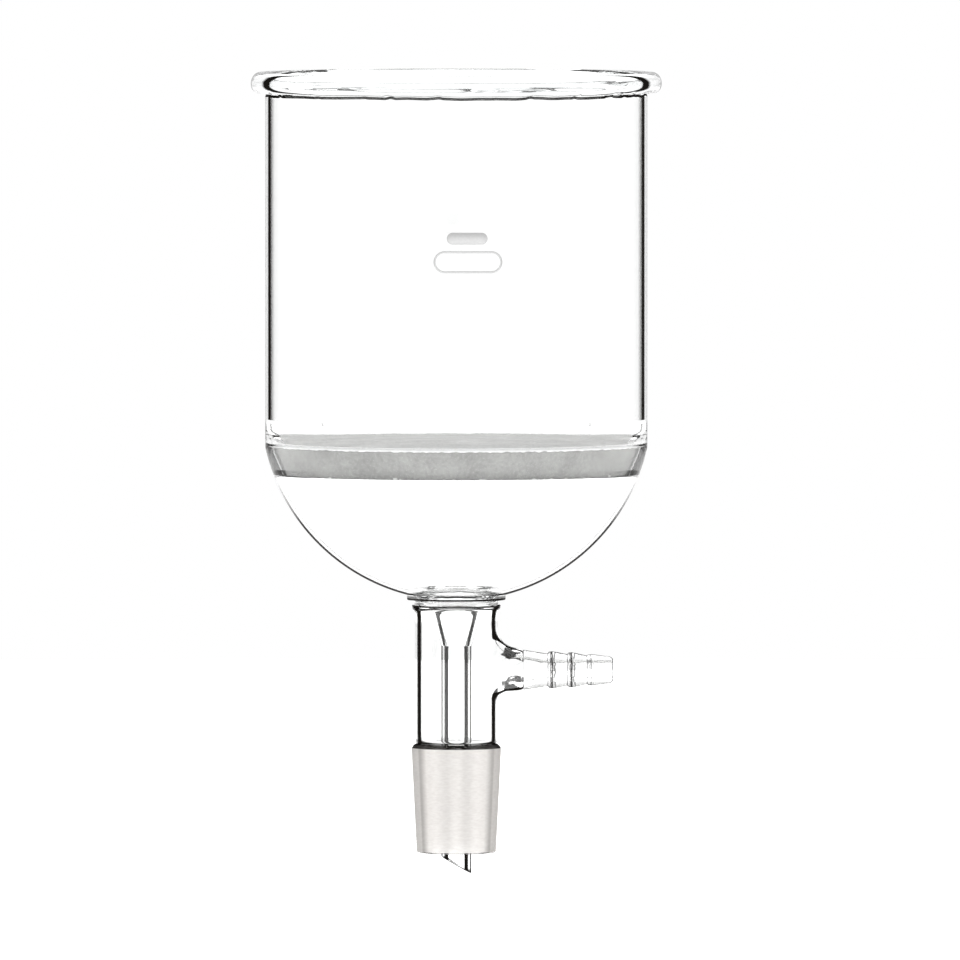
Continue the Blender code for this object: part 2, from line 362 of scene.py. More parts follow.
def neck_seal():
    """The ring seal: a ridge under the dome, a waist, and a thin bead on top of the sleeve."""
    foot = NECK_LOW.z - SEAM * 5
    reach = NECK_HIGH.x
    bore_r = SLEEVE_BORE_R + 0.0006
    lip_r = 0.0074
    points = [
        (reach, dome_z(DOME_R - WALL, reach), MELT),
        (lip_r, dome_z(DOME_R - WALL, lip_r), 0.0012),
        (0.0056, foot + 0.0022, 0.001),
        (0.0049, foot + 0.0001, MELT),
        (0.0059, foot + 0.0001, MELT),
        (0.0064, foot + 0.0012, 0.0005),
        (bore_r - 0.0006, foot + 0.0011, 0.0004),
        (bore_r, foot, MELT),
        (SLEEVE_R + 0.0006, foot, MELT),
        (SLEEVE_R + 0.0006, foot + 0.00036, MELT),
        (SLEEVE_R + 0.0001, foot + 0.00056, MELT),
        (SLEEVE_R + 0.0001, foot + 0.0012, 0.0002),
        (reach - 0.0001, foot + 0.00148, MELT),
        (reach, foot + 0.00190, MELT),
        (reach, dome_z(DOME_R, reach), MELT),
    ]

    def finish(r, z):
        ridge = r > reach - 0.0003 and foot + 0.00140 < z < foot + 0.00192
        bead = r > SLEEVE_R + 0.0004 and foot < z < foot + 0.00040
        # The ridge and the bead are painted dark (CREASE): painted shade.
        if ridge or bead:
            return CREASE
        return INSIDE if z > foot + 0.0029 else OUTSIDE

    def warp(angle, radius, height):
        lift = 0.00014 * sway(angle, 0, 3, 7)
        inside = max(0, 1 - abs(radius - lip_r) / 0.002) * 0.00004 * sway(angle, 0, 3, 8)
        edge = min(1, abs(height - foot) / 0.0004) * min(1, abs(radius - reach) / 0.0005)
        return edge * inside, edge * lift

    piece = turned("neck_seal", soften(points, 0.0005), 360, NECK, finish, warp)
    return finish_piece(piece, "clear_glass", "neck_ring_seal")


def stem():
    top = STEM_HIGH.z
    tip = STEM_LOW.z
    cut_at = tip + STEM_CUT * STEM_R
    points = [
        (STEM_R, cut_at, 0.0002),
        (STEM_R, STEM_NECK_Z - 0.0002, 0.002),
        (0.0052, top - 0.0012, 0.003),
        (0.0059, top, MELT),
        (0.0049, top, MELT),
        (0.0044, top - 0.0012, 0.003),
        (STEM_BORE_R, STEM_NECK_Z, 0.002),
        (STEM_BORE_R, cut_at, 0.0002),
    ]
    low = 0.004

    def warp(angle, radius, height):
        """Slants the lower end, fading out above it."""
        share = max(0, 1 - (height - cut_at) / low)
        return 0, -share * STEM_CUT * radius * math.cos(angle)

    piece = turned("stem", soften(points, 0.0008), 96, STEM, stem_finish, warp)
    return finish_piece(piece, "clear_glass", "drip_stem")


def stem_finish(radius, height):
    """Tells the stem's bore from its outer surface, with its cut lip and its funnel apart."""
    # The cut lip is painted dark (CREASE): painted shade.
    if height < STEM_LOW.z + STEM_CUT * STEM_R + 0.00024:
        return CREASE
    if height < STEM_NECK_Z:
        return INSIDE if radius < (STEM_R + STEM_BORE_R) / 2 else OUTSIDE
    share = (height - STEM_NECK_Z) / (STEM_HIGH.z - STEM_NECK_Z)
    in_bore = radius < (STEM_R + STEM_BORE_R) / 2 + share * 0.0028
    return INSIDE if in_bore else EXTRA


# The port's reach above its axis, below it and to either side, where it leaves the sleeve
PORT_OUTSIDE = (0.0098, 0.0070, 0.0062)
PORT_INSIDE = (0.0100, 0.0066, 0.0056)
PORT_END_X = 0.01410
PORT_END_R = 0.0042
PORT_END_BORE_R = 0.0025
PORT_END_SLOPE = -0.19


def port_curve(tube_r, reach, end_r, angle, steps):
    """(x, radius) points of the port at an angle, leaving the sleeve along its surface."""
    above, below, beside = reach
    tall = above if math.sin(angle) > 0 else below
    start_r = 1 / math.hypot(math.cos(angle) / beside, math.sin(angle) / tall)
    start = Vector((math.sqrt(tube_r**2 - (start_r * math.cos(angle)) ** 2), start_r))
    end = Vector((PORT_END_X, end_r))
    slope = start_r * math.cos(angle) ** 2 / start.x
    pull = (end - start).length * 1.5
    leave = Vector((slope, -1)).normalized() * pull
    arrive = Vector((1, PORT_END_SLOPE)).normalized() * pull
    points = []
    for i in range(steps + 1):
        t = i / steps
        points.append(
            start * (1 + 2 * t) * (1 - t) ** 2
            + end * t * t * (3 - 2 * t)
            + leave * t * (1 - t) ** 2
            - arrive * t * t * (1 - t)
        )
    return points


def sleeve_surface(tube_r, reach, end_r, sides, rings, port_rings, weld):
    """Rows of points over the sleeve and out along its port.

    Each row goes once round the port. The first is the sleeve's far seam and its two ends, the
    last is the port's end.
    """
    foot, top = SLEEVE_LOW.z, SLEEVE_HIGH.z
    flare_z = top - 0.0028
    rows = [[] for _ in range(rings + port_rings)]
    for i in range(sides):
        angle = math.tau * i / sides
        curve = port_curve(tube_r, reach, end_r, angle, port_rings)
        start = curve[0]
        turn = math.asin(start.y * math.cos(angle) / tube_r)
        height = PORT_Z + start.y * math.sin(angle)
        across, up = math.cos(angle), math.sin(angle)
        most = max(abs(across), abs(up))
        far_turn = math.pi * across / most
        far_z = PORT_Z + up / most * ((top - PORT_Z) if up > 0 else (PORT_Z - foot))
        for k in range(rings):
            share = 1 - (k / rings) ** 0.8
            phi = turn + (far_turn - turn) * share
            z = height + (far_z - height) * share
            rise = min(1, max(0, (z - flare_z) / (top - flare_z)))
            r = tube_r + 0.0006 * rise * rise
            rows[k].append((r * math.cos(phi), r * math.sin(phi), z))
        for k in range(port_rings):
            x, r = curve[k]
            r += weld(x, angle)
            rows[rings + k].append((x, r * math.cos(angle), PORT_Z + r * math.sin(angle)))
    end_row = [
        (PORT_END_X, end_r * math.cos(math.tau * i / sides),
         PORT_Z + end_r * math.sin(math.tau * i / sides)) for i in range(sides)
    ]
    return rows + [end_row]


def sleeve_finish(is_outer, point):
    """Glass gathered along the weld of the port is painted dark above and below its bore: painted
    shade.
    """
    if is_outer:
        return OUTSIDE
    x, y, z = point
    drift = 0.0012 * noise.noise(Vector(point) * 500 + Vector((3.1, 0, 7.7)))
    at_weld = 0.0100 < x + drift < 0.0130
    steep = abs(z - PORT_Z) > (0.80 + 150 * drift) * math.hypot(y, z - PORT_Z)
    return CREASE if at_weld and steep else INSIDE


def sleeve():
    sides, rings, port_rings = 360, 26, 30

    def outer_weld(x, angle):
        swell = math.exp(-((x - 0.0128) / 0.0009) ** 2)
        return swell * (0.00008 + 0.0001 * sway(angle, 0, 2.5, 11))

    def inner_weld(x, angle):
        swell = math.exp(-((x - 0.0121) / 0.0009) ** 2)
        return -swell * (0.00035 + 0.0004 * sway(angle, 0, 2.5, 12))

    outer = sleeve_surface(SLEEVE_R, PORT_OUTSIDE, PORT_END_R, sides, rings, port_rings, outer_weld)
    inner = sleeve_surface(
        SLEEVE_BORE_R, PORT_INSIDE, PORT_END_BORE_R, sides, rings, port_rings, inner_weld
    )
    rows = outer + inner[::-1]
    verts = [point for row in rows for point in row]
    faces, finishes = [], []
    for k in range(len(rows)):
        following = (k + 1) % len(rows)
        for i in range(sides):
            j = (i + 1) % sides
            edge = [verts[k * sides + n] for n in (i, j)]
            on_seam = all(x < 0 and abs(y) < SEAM for x, y, _ in edge)
            if following == 0 and on_seam:
                continue
            faces.append(
                (k * sides + i, k * sides + j, following * sides + j, following * sides + i)
            )
            finishes.append(sleeve_finish(k < len(outer), rows[k][i]))
    piece = add_piece("sleeve", verts, faces, finishes, TUBE)
    return finish_piece(piece, "clear_glass", "vacuum_sleeve")


def connector():
    start = PORT_END_X + SEAM
    tip = HOSE_HIGH.x
    pitch, first = 0.0041, 0.0192
    crests, valleys = (0.0039, 0.0037, 0.0033), (0.0033, 0.0030, 0.0029)
    bore, tip_r, flare_end = 0.00172, 0.0029, 0.0180
    nose = (tip_r - bore - 0.0002, 0.0013)
    points = [(PORT_END_BORE_R, start, MELT), (PORT_END_R, start, MELT), (0.0034, first, 0.001)]
    for i, (crest, valley) in enumerate(zip(crests, valleys)):
        foot = first + i * pitch
        points += [
            (crest - 0.00008, foot + 0.0003, 0.00025),
            (crest, foot + 0.0011, 0.0005),
            (valley, min(foot + pitch, tip - 0.0016), 0.0003),
        ]
    points += arc((bore + 0.0002, tip - nose[1]), nose, 0, 90, 12)
    points += [(bore, tip - 0.0003, 0.0002), (bore, flare_end, 0.004)]

    def finish(r, z):
        if r < bore + 0.0003 or (z < flare_end and r < tip_r):
            return INSIDE
        # The barbs' steps and the tip are painted dark (CREASE, EXTRA lighter): painted shade.
        for i in range(len(crests)):
            along = z - first - i * pitch
            if 0.00076 < along < 0.00098:
                return EXTRA if i == 2 else CREASE
            if -0.00010 < along < 0.00006:
                return EXTRA
        return EXTRA if z > tip - 0.00030 else OUTSIDE

    def warp(angle, radius, height):
        if radius < 0.002:
            return 0.00006 * sway(angle, height * 0.6, 2, 14), 0
        barbed = min(1, max(0, (height - start) / 0.004)) * min(1, max(0, (tip - height) / 0.001))
        return 0, barbed * 0.00016 * sway(angle, 0, 3, 15)

    piece = turned("connector", soften(points, 0.0004), 192, BARB, finish, warp, axis="X")
    return finish_piece(piece, "clear_glass", "hose_connector")


def cone():
    top, foot = CONE_HIGH.z, CONE_LOW.z
    large_r, small_r = CONE_HIGH.x, CONE_HIGH.x - 0.0011
    foot_bore_r = 0.0062
    points = [
        (SLEEVE_R, top, MELT),
        (SLEEVE_R + 0.0004, top - 0.00035, 0.0003),
        (large_r, -0.0001, 0.0003),
        (small_r, foot, 0.0003),
        (foot_bore_r, foot, 0.0002),
        (0.0074, -0.0020, 0.003),
        (SLEEVE_BORE_R, top, MELT),
    ]

    def finish(r, z):
        bore_r = foot_bore_r + (z - foot) / (top - foot) * (SLEEVE_BORE_R - foot_bore_r)
        on_shoulder = z > FLAT
        # The shoulder is painted dark (CREASE), and the foot's edge (EXTRA) carries painted dark
        # bands.
        if on_shoulder and r > SLEEVE_R:
            return CREASE
        if z < foot + 0.0003 and r > small_r - 0.0004:
            return EXTRA
        return INSIDE if r < bore_r + 0.0006 or on_shoulder else OUTSIDE

    piece = turned("cone", soften(points, 0.0010), 128, GROUND, finish)
    return finish_piece(piece, "ground_glass", "ground_cone")


def disc_roughness(x, y, z, r):
    """How far the disc's grain pushes a point at radius r outward, and how far it lifts it."""
    top, foot = DISC_HIGH.z, DISC_LOW.z
    fine_scale, broad_scale, edge_scale = 1800, 260, 900
    grain = noise.noise(Vector((x, y, z)) * fine_scale)
    broad = noise.noise(Vector((x, y, z)) * broad_scale)
    flat = z > top - FLAT or z < foot + FLAT
    lift = (0.00016 * grain + 0.00012 * broad) if flat else 0.00006 * grain
    push = 0 if flat else 0.00004 * grain
    at_foot = abs(z - foot) < 0.0001 and r > DISC_EDGE[1] - 0.001
    if at_foot or abs(z - top + DISC_CHAMFER) < 0.0001:
        lift += 0.00018 * noise.noise(Vector((x, y, 5)) * edge_scale)
    if z > top - FLAT and r > DISC_FACE_R - 0.001:
        lift = min(lift, 0.00005)
    return push, lift


def disc_look(middle):
    """The place in the disc's looks of the one for a face, by the face's middle."""
    across = middle.xy.length
    # The chamfer round the top face takes the painted highlight.
    if middle.z > DISC_HIGH.z - DISC_CHAMFER and across > DISC_FACE_R + 0.0002:
        return DISC_HIGHLIGHT
    on_side = DISC_LOW.z + 0.0001 < middle.z <= DISC_HIGH.z - 0.0004
    return DISC_SIDE if on_side and across > DISC_EDGE[1] else DISC_FACE


def disc():
    """The sintered disc: a grainy top, an uneven slanting side and a grainy underside."""
    top, foot = DISC_HIGH.z, DISC_LOW.z
    sides, rings, steps = 720, 60, 16
    radii = [DISC_FACE_R * math.sqrt(k / rings) for k in range(1, rings + 1)]
    outline = [(r, top) for r in radii]
    outline += [(DISC_FACE_R + 0.0010, top - 0.0001), (DISC_EDGE[0] - 0.0003, top - 0.0003)]
    outline += [(DISC_EDGE[0], top - DISC_CHAMFER)]
    for k in range(1, steps + 1):
        share = k / steps
        r = DISC_EDGE[0] + (DISC_EDGE[1] - DISC_EDGE[0]) * share
        outline.append((r, top - DISC_CHAMFER + (foot - top + DISC_CHAMFER) * share))
    outline += [(r * DISC_EDGE[1] / DISC_FACE_R, foot) for r in radii[::-1][1:]]
    verts, faces, finishes = [(0, 0, top)], [], []
    for i in range(sides):
        angle = math.tau * i / sides
        for r, z in outline:
            x, y = r * math.cos(angle), r * math.sin(angle)
            push, lift = disc_roughness(x, y, z, r)
            scale = (r + push) / r
            verts.append((x * scale, y * scale, z + lift))
    verts.append((0, 0, foot))
    count, last = len(outline), len(verts) - 1
    for i in range(sides):
        j = (i + 1) % sides
        faces.append((0, 1 + i * count, 1 + j * count))
        for k in range(count - 1):
            a, b = 1 + i * count + k, 1 + j * count + k
            faces.append((a, a + 1, b + 1, b))
        faces.append((last, j * count + count, i * count + count))
    for face in faces:
        corners = [Vector(verts[n]) for n in face]
        finishes.append(disc_look(sum(corners, Vector()) / len(corners)))
    # The disc's edge is melted smooth where it was fused to the tube, and painted white there as a
    # highlight. Its side is a darker copy of the same sintered glass: painted shade.
    looks = [
        sintered_glass("sintered_face", (0.38, 0.38, 0.375, 1), (1.0, 1.0, 0.99, 1), 0),
        speckled("painted_edge_highlight", 0.35, 500, [(0.3, 0.90), (0.7, 0.99)]),
        sintered_glass("sintered_side_painted_shade", (0.15, 0.15, 0.147, 1), (0.49, 0.49, 0.48, 1), 0.85),
    ]
    piece = add_piece("disc", verts, faces, finishes, looks)
    return finish_piece(piece, "sintered_glass", "fritted_disc")


# Printed marks: a blank spot and a blank field to write on ------------------------------------

def printed(name, columns, centre, material):
    """Thin enamel on the bowl's front. columns are (x, low, high) about the centre, in order.

    Columns after a None start a new stroke.
    """
    inner, outer = BOWL_R + SEAM / 2, BOWL_R + SEAM / 2 + 0.00004
    verts, faces = [], []
    before = None
    for column in columns:
        if column is None:
            faces.append(tuple(range(before, before + 4)))
            before = None
            continue
        x, low, high = column
        turn = (centre[0] + x) / BOWL_R
        start = len(verts)
        for r, z in ((inner, low), (outer, low), (outer, high), (inner, high)):
            verts.append((r * math.sin(turn), -r * math.cos(turn), centre[1] + z))
        if before is None:
            faces.append((start + 3, start + 2, start + 1, start))
        else:
            for k in range(4):
                m = (k + 1) % 4
                faces.append((before + k, start + k, start + m, before + m))
        before = start
    piece = add_piece(name, verts, faces, [0] * len(faces), [material])
    return finish_piece(piece, "sintered_glass")


def pill_half(x, width, height):
    """Half of a round-ended spot's height, at x."""
    r = height / 2
    beyond = max(0, abs(x) - (width / 2 - r))
    return math.sqrt(max(0, r * r - beyond * beyond))


def spot_columns(width, height, steps=120):
    """A filled spot. Its columns crowd towards the round ends."""
    xs = [-width / 2 * math.cos(math.pi * (i + 0.5) / steps) for i in range(steps)]
    return [(x, -pill_half(x, width, height), pill_half(x, width, height)) for x in xs] + [None]


def outline_columns(width, height, stroke, steps=160):
    """The outline of a spot: an upper stroke, a lower one, and the two ends that join them."""
    xs = [-width / 2 * math.cos(math.pi * (i + 0.5) / steps) for i in range(steps)]
    inside = [x for x in xs if abs(x) < width / 2 - stroke]
    columns = []
    for end in (-1, 1):
        part = [x for x in xs if x * end >= width / 2 - stroke]
        columns += [(x, -pill_half(x, width, height), pill_half(x, width, height)) for x in part]
        columns.append(None)
    for side in (-1, 1):
        for x in inside:
            far = side * pill_half(x, width, height)
            near = side * pill_half(x, width - 2 * stroke, height - 2 * stroke)
            columns.append((x, min(near, far), max(near, far)))
        columns.append(None)
    return columns


def marks():
    enamel = speckled("enamel_print", 0.6, 2500, [(0.0, 0.46), (1.0, 0.56)])
    printed("blank_spot", spot_columns(0.0085, 0.0025), (0.0023, 0.1077), enamel)
    printed("blank_field", outline_columns(0.0144, 0.0046, 0.00045), (0.0025, 0.1028), enamel)


# Materials -----------------------------------------------------------------------------------

def new_material(name):
    material = bpy.data.materials.new(name)
    material.use_nodes = True
    nodes, links = material.node_tree.nodes, material.node_tree.links
    return material, nodes, links, nodes["Principled BSDF"], nodes["Material Output"]


def let_shadows_through(nodes, links, surface, output, tint):
    """Lets light reach what is behind the glass without tracing it through the surface."""
    path = nodes.new("ShaderNodeLightPath")
    clear = nodes.new("ShaderNodeBsdfTransparent")
    clear.inputs["Color"].default_value = (tint, tint, tint, 1)
    mix = nodes.new("ShaderNodeMixShader")
    links.new(path.outputs["Is Shadow Ray"], mix.inputs["Fac"])
    links.new(surface, mix.inputs[1])
    links.new(clear.outputs["BSDF"], mix.inputs[2])
    links.new(mix.outputs["Shader"], output.inputs["Surface"])


def facing(radius, inset):
    """How edge on a round wall is seen, from 0 to 1, at a distance inside its silhouette."""
    across = min(max(0, radius - inset) / radius, 1)
    return 1 - math.sqrt(1 - across * across)


def set_stops(ramp, stops):
    """Gives a colour ramp its greys. stops are (position, grey), in order."""
    elements = ramp.color_ramp.elements
    while len(elements) < len(stops):
        elements.new(1.0)
    for element, (position, grey) in zip(elements, stops):
        element.position = position
        element.color = (grey, grey, grey, 1)


def noise_at(nodes, links, vector, scale, detail=2):
    """The value of a noise texture, read at a vector's output."""
    texture = nodes.new("ShaderNodeTexNoise")
    texture.inputs["Scale"].default_value = scale
    texture.inputs["Detail"].default_value = detail
    links.new(vector, texture.inputs["Vector"])
    return texture.outputs["Fac"]


def roughen(nodes, links, shader, height, strength):
    """Gives a shader a bump a tenth of a millimetre deep."""
    bump = nodes.new("ShaderNodeBump")
    bump.inputs["Strength"].default_value = strength
    bump.inputs["Distance"].default_value = 0.0001
    links.new(height, bump.inputs["Height"])
    links.new(bump.outputs["Normal"], shader.inputs["Normal"])


def darkened(nodes, links, surface, stops, colour):
    """Mixes a dark colour into a surface by how edge on it is seen, as painted shade. stops are for
    set_stops.
    """
    weight = nodes.new("ShaderNodeLayerWeight")
    weight.inputs["Blend"].default_value = 0.5
    ramp = nodes.new("ShaderNodeValToRGB")
    set_stops(ramp, stops)
    dark = nodes.new("ShaderNodeBsdfDiffuse")
    dark.inputs["Color"].default_value = colour
    edge = nodes.new("ShaderNodeMixShader")
    links.new(weight.outputs["Facing"], ramp.inputs["Fac"])
    links.new(ramp.outputs["Color"], edge.inputs["Fac"])
    links.new(surface, edge.inputs[1])
    links.new(dark.outputs["BSDF"], edge.inputs[2])
    return edge.outputs["Shader"]


def faded(nodes, links, position, darkness, fade):
    """Weakens a painted darkness with height. fade is two pairs of a height and the share left at
    it.
    """
    (low, most), (high, least) = fade
    spot = nodes.new("ShaderNodeSeparateXYZ")
    level = nodes.new("ShaderNodeMapRange")
    span = (("From Min", low), ("From Max", high), ("To Min", most), ("To Max", least))
    for socket, value in span:
        level.inputs[socket].default_value = value
    product = nodes.new("ShaderNodeMath")
    product.operation = "MULTIPLY"
    links.new(position, spot.inputs["Vector"])
    links.new(spot.outputs["Z"], level.inputs["Value"])
    links.new(darkness, product.inputs[0])
    links.new(level.outputs["Result"], product.inputs[1])
    return product.outputs[0]


def clear_glass(name, front, back, tint=(0.996, 0.999, 0.997, 1), ior=GLASS_IOR, fade=None):
    """Clear glass that shows its wall as dark lines of painted shade, as against a backdrop of
    limited width.

    front gives how dark a surface met from the air is, by how edge on it is seen. back does so
    for a surface met from inside the glass, by the share of light that it mirrors.
    """
    material, nodes, links, shader, output = new_material(name)
    shader.inputs["Roughness"].default_value = 0.0
    shader.inputs["IOR"].default_value = ior
    shader.inputs["Specular IOR Level"].default_value = 0.2
    shader.inputs["Transmission Weight"].default_value = 1.0
    weight = nodes.new("ShaderNodeLayerWeight")
    weight.inputs["Blend"].default_value = 0.5
    fresnel = nodes.new("ShaderNodeFresnel")
    fresnel.inputs["IOR"].default_value = ior
    place = nodes.new("ShaderNodeNewGeometry")
    striae = noise_at(nodes, links, place.outputs["Position"], 45)
    colour = nodes.new("ShaderNodeMix")
    colour.data_type = "RGBA"
    colour.inputs["A"].default_value = tint
    colour.inputs["B"].default_value = tuple(0.985 * part for part in tint[:3]) + (1,)
    links.new(striae, colour.inputs["Factor"])
    links.new(colour.outputs["Result"], shader.inputs["Base Color"])
    side = nodes.new("ShaderNodeMix")
    links.new(place.outputs["Backfacing"], side.inputs["Factor"])
    sources = ((weight.outputs["Facing"], front, "A"), (fresnel.outputs["Fac"], back, "B"))
    for value, stops, socket in sources:
        ramp = nodes.new("ShaderNodeValToRGB")
        set_stops(ramp, stops)
        links.new(value, ramp.inputs["Fac"])
        links.new(ramp.outputs["Color"], side.inputs[socket])
    # A near black surface mixed in by the ramps: the painted shade of the glass's dark lines.
    dark = nodes.new("ShaderNodeBsdfDiffuse")
    dark.inputs["Color"].default_value = (0.008, 0.007, 0.006, 1)
    edge = nodes.new("ShaderNodeMixShader")
    darkness = side.outputs["Result"]
    if fade:
        darkness = faded(nodes, links, place.outputs["Position"], darkness, fade)
    links.new(darkness, edge.inputs["Fac"])
    links.new(shader.outputs["BSDF"], edge.inputs[1])
    links.new(dark.outputs["BSDF"], edge.inputs[2])
    let_shadows_through(nodes, links, edge.outputs["Shader"], output, 0.97)
    return material


def outer_wall(radius, wall, line, soft, shades, edge=0.00005):
    """Stops for painted shade on a round wall's outer surface: a line just inside its bore, then
    the wall.

    shades are the line's, the wall's and the edge's, which is as wide as edge.
    """
    line_shade, wall_shade, edge_shade = shades
    bore = wall + line
    return [
        (facing(radius, bore + soft), 0),
        (facing(radius, bore + soft * 0.4), line_shade * 0.12),
        (facing(radius, bore), line_shade),
        (facing(radius, wall), line_shade),
        (facing(radius, wall - line * 0.5), wall_shade),
        (facing(radius, edge * 2), wall_shade),
        (facing(radius, edge), edge_shade),
        (1.0, edge_shade),
    ]


def silhouette(radius, line, soft, shade):
    """Stops for a painted dark line round the silhouette of a solid or of a bore."""
    return [(facing(radius, line + soft), 0), (facing(radius, line), shade), (1.0, shade)]


NO_LINE = [(0.0, 0), (1.0, 0)]


def ground_glass(name):
    """Glass ground matt, with painted shade that makes it a little darker along its wall."""
    material, nodes, links, shader, output = new_material(name)
    shader.inputs["Roughness"].default_value = 0.6
    shader.inputs["IOR"].default_value = GLASS_IOR
    shader.inputs["Specular IOR Level"].default_value = 0.3
    shader.inputs["Transmission Weight"].default_value = 0.6
    place = nodes.new("ShaderNodeTexCoord")
    stretch = nodes.new("ShaderNodeMapping")
    stretch.inputs["Scale"].default_value = (1, 1, 3)
    links.new(place.outputs["Object"], stretch.inputs["Vector"])
    grit = noise_at(nodes, links, stretch.outputs["Vector"], 900, 5)
    tone = nodes.new("ShaderNodeValToRGB")
    low, high = tone.color_ramp.elements
    low.position, high.position = 0.3, 0.7
    low.color, high.color = (0.73, 0.70, 0.675, 1), (0.85, 0.825, 0.80, 1)
    links.new(grit, tone.inputs["Fac"])
    links.new(tone.outputs["Color"], shader.inputs["Base Color"])
    roughen(nodes, links, shader, grit, 0.25)
    # Painted shade: a dark grey mixed in along the cone's wall by how edge on it is seen.
    stops = outer_wall(LINE_CONE_R, 0.0014, 0.0003, 0.0028, (0.48, 0.32, 0.25))
    surface = darkened(nodes, links, shader.outputs["BSDF"], stops, (0.05, 0.045, 0.04, 1))
    let_shadows_through(nodes, links, surface, output, 0.6)
    return material


def sintered_glass(name, low, high, edge_shade):
    """Porous white glass. edge_shade darkens it where it is seen edge on."""
    material, nodes, links, shader, output = new_material(name)
    shader.inputs["Roughness"].default_value = 0.85
    shader.inputs["Specular IOR Level"].default_value = 0.2
    place = nodes.new("ShaderNodeTexCoord").outputs["Object"]
    grains = noise_at(nodes, links, place, 1400, 4)
    clouds = noise_at(nodes, links, place, 160, 3)
    mottle = nodes.new("ShaderNodeMix")
    mottle.data_type = "RGBA"
    mottle.inputs["A"].default_value = low
    mottle.inputs["B"].default_value = high
    blend = nodes.new("ShaderNodeMath")
    blend.operation = "MULTIPLY_ADD"
    blend.inputs[1].default_value = 0.5
    links.new(grains, blend.inputs[0])
    half = nodes.new("ShaderNodeMath")
    half.operation = "MULTIPLY"
    half.inputs[1].default_value = 0.5
    links.new(clouds, half.inputs[0])
    links.new(half.outputs[0], blend.inputs[2])
    links.new(blend.outputs[0], mottle.inputs["Factor"])
    links.new(mottle.outputs["Result"], shader.inputs["Base Color"])
    roughen(nodes, links, shader, grains, 0.6)
    if edge_shade:
        stops = [(0.80, 0), (0.86, edge_shade), (1.0, edge_shade)]
        surface = darkened(nodes, links, shader.outputs["BSDF"], stops, (0.03, 0.03, 0.03, 1))
        links.new(surface, output.inputs["Surface"])
    return material


def speckled(name, roughness, scale, stops):
    """A grey that wanders between the greys of its stops."""
    material, nodes, links, shader, _ = new_material(name)
    shader.inputs["Roughness"].default_value = roughness
    place = nodes.new("ShaderNodeTexCoord").outputs["Object"]
    ramp = nodes.new("ShaderNodeValToRGB")
    set_stops(ramp, stops)
    links.new(noise_at(nodes, links, place, scale), ramp.inputs["Fac"])
    links.new(ramp.outputs["Color"], shader.inputs["Base Color"])
    return material


# Studio --------------------------------------------------------------------------------------

def world():
    """White to the camera. In the glass, white round the horizon and grey overhead."""
    made = bpy.data.worlds.new("studio")
    bpy.context.scene.world = made
    made.use_nodes = True
    nodes, links = made.node_tree.nodes, made.node_tree.links
    output = nodes["World Output"]
    seen = nodes["Background"]
    seen.inputs["Color"].default_value = (1, 1, 1, 1)
    refracted = nodes.new("ShaderNodeBackground")
    place = nodes.new("ShaderNodeTexCoord")
    split = nodes.new("ShaderNodeSeparateXYZ")
    ramp = nodes.new("ShaderNodeValToRGB")
    elements = ramp.color_ramp.elements
    elements[0].position, elements[1].position = 0.55, 0.8
    elements[0].color, elements[1].color = (1, 1, 1, 1), (0.45, 0.45, 0.45, 1)
    refracted.inputs["Strength"].default_value = 1.06
    path = nodes.new("ShaderNodeLightPath")
    mix = nodes.new("ShaderNodeMixShader")
    links.new(place.outputs["Generated"], split.inputs["Vector"])
    links.new(split.outputs["Z"], ramp.inputs["Fac"])
    links.new(ramp.outputs["Color"], refracted.inputs["Color"])
    links.new(path.outputs["Is Camera Ray"], mix.inputs["Fac"])
    links.new(refracted.outputs["Background"], mix.inputs[1])
    links.new(seen.outputs["Background"], mix.inputs[2])
    links.new(mix.outputs["Shader"], output.inputs["Surface"])


def softbox(name, place, target, size, power):
    """A large soft light for the matt surfaces. The glass doesn't mirror it."""
    light = bpy.data.lights.new(name, "AREA")
    light.size = size
    light.energy = power
    obj = bpy.data.objects.new(name, light)
    obj.location = place
    obj.rotation_euler = (Vector(target) - Vector(place)).to_track_quat("-Z", "Y").to_euler()
    obj.visible_camera = obj.visible_glossy = obj.visible_transmission = False
    bpy.context.scene.collection.objects.link(obj)


def floor():
    """A plain pale floor, well below the funnel, which hangs free."""
    radius, sides, height = 3.0, 64, -0.12
    verts = [
        (radius * math.cos(math.tau * i / sides), radius * math.sin(math.tau * i / sides), height)
        for i in range(sides)
    ]
    mesh = bpy.data.meshes.new("studio_floor")
    mesh.from_pydata(verts, [], [tuple(range(sides))])
    material, _, _, shader, _ = new_material("pale_floor")
    shader.inputs["Base Color"].default_value = (0.9, 0.9, 0.9, 1)
    shader.inputs["Roughness"].default_value = 0.9
    shader.inputs["Emission Color"].default_value = (1, 1, 1, 1)
    shader.inputs["Emission Strength"].default_value = 1.1
    mesh.materials.append(material)
    obj = bpy.data.objects.new("studio_floor", mesh)
    bpy.context.scene.collection.objects.link(obj)
    obj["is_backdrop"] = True


def camera():
    """A long lens, a little above the funnel's middle, with the hose connector to the right."""
    distance, rise = 4.55, math.radians(2.17)
    target = Vector((0.00496, 0, 0.0561))
    seen_width = 0.2010
    data = bpy.data.cameras.new("camera")
    data.sensor_width = 36
    data.lens = data.sensor_width * distance / seen_width
    data.clip_start, data.clip_end = 0.01, 20
    obj = bpy.data.objects.new("camera", data)
    obj.location = target + Vector((0, -math.cos(rise), math.sin(rise))) * distance
    obj.rotation_euler = (math.radians(90) - rise, 0, 0)
    bpy.context.scene.collection.objects.link(obj)
    bpy.context.scene.camera = obj


# Near black glasses: painted shade on creases, seams, weld lines and barb steps, the second
# lighter.
crease_shade = clear_glass("painted_crease_shade", [(0.0, 0.92), (1.0, 0.97)], [(0.0, 0.8), (1.0, 0.95)])
soft_crease_shade = clear_glass("painted_soft_crease_shade", [(0.0, 0.55), (1.0, 0.8)], [(0.0, 0.3), (1.0, 0.6)])
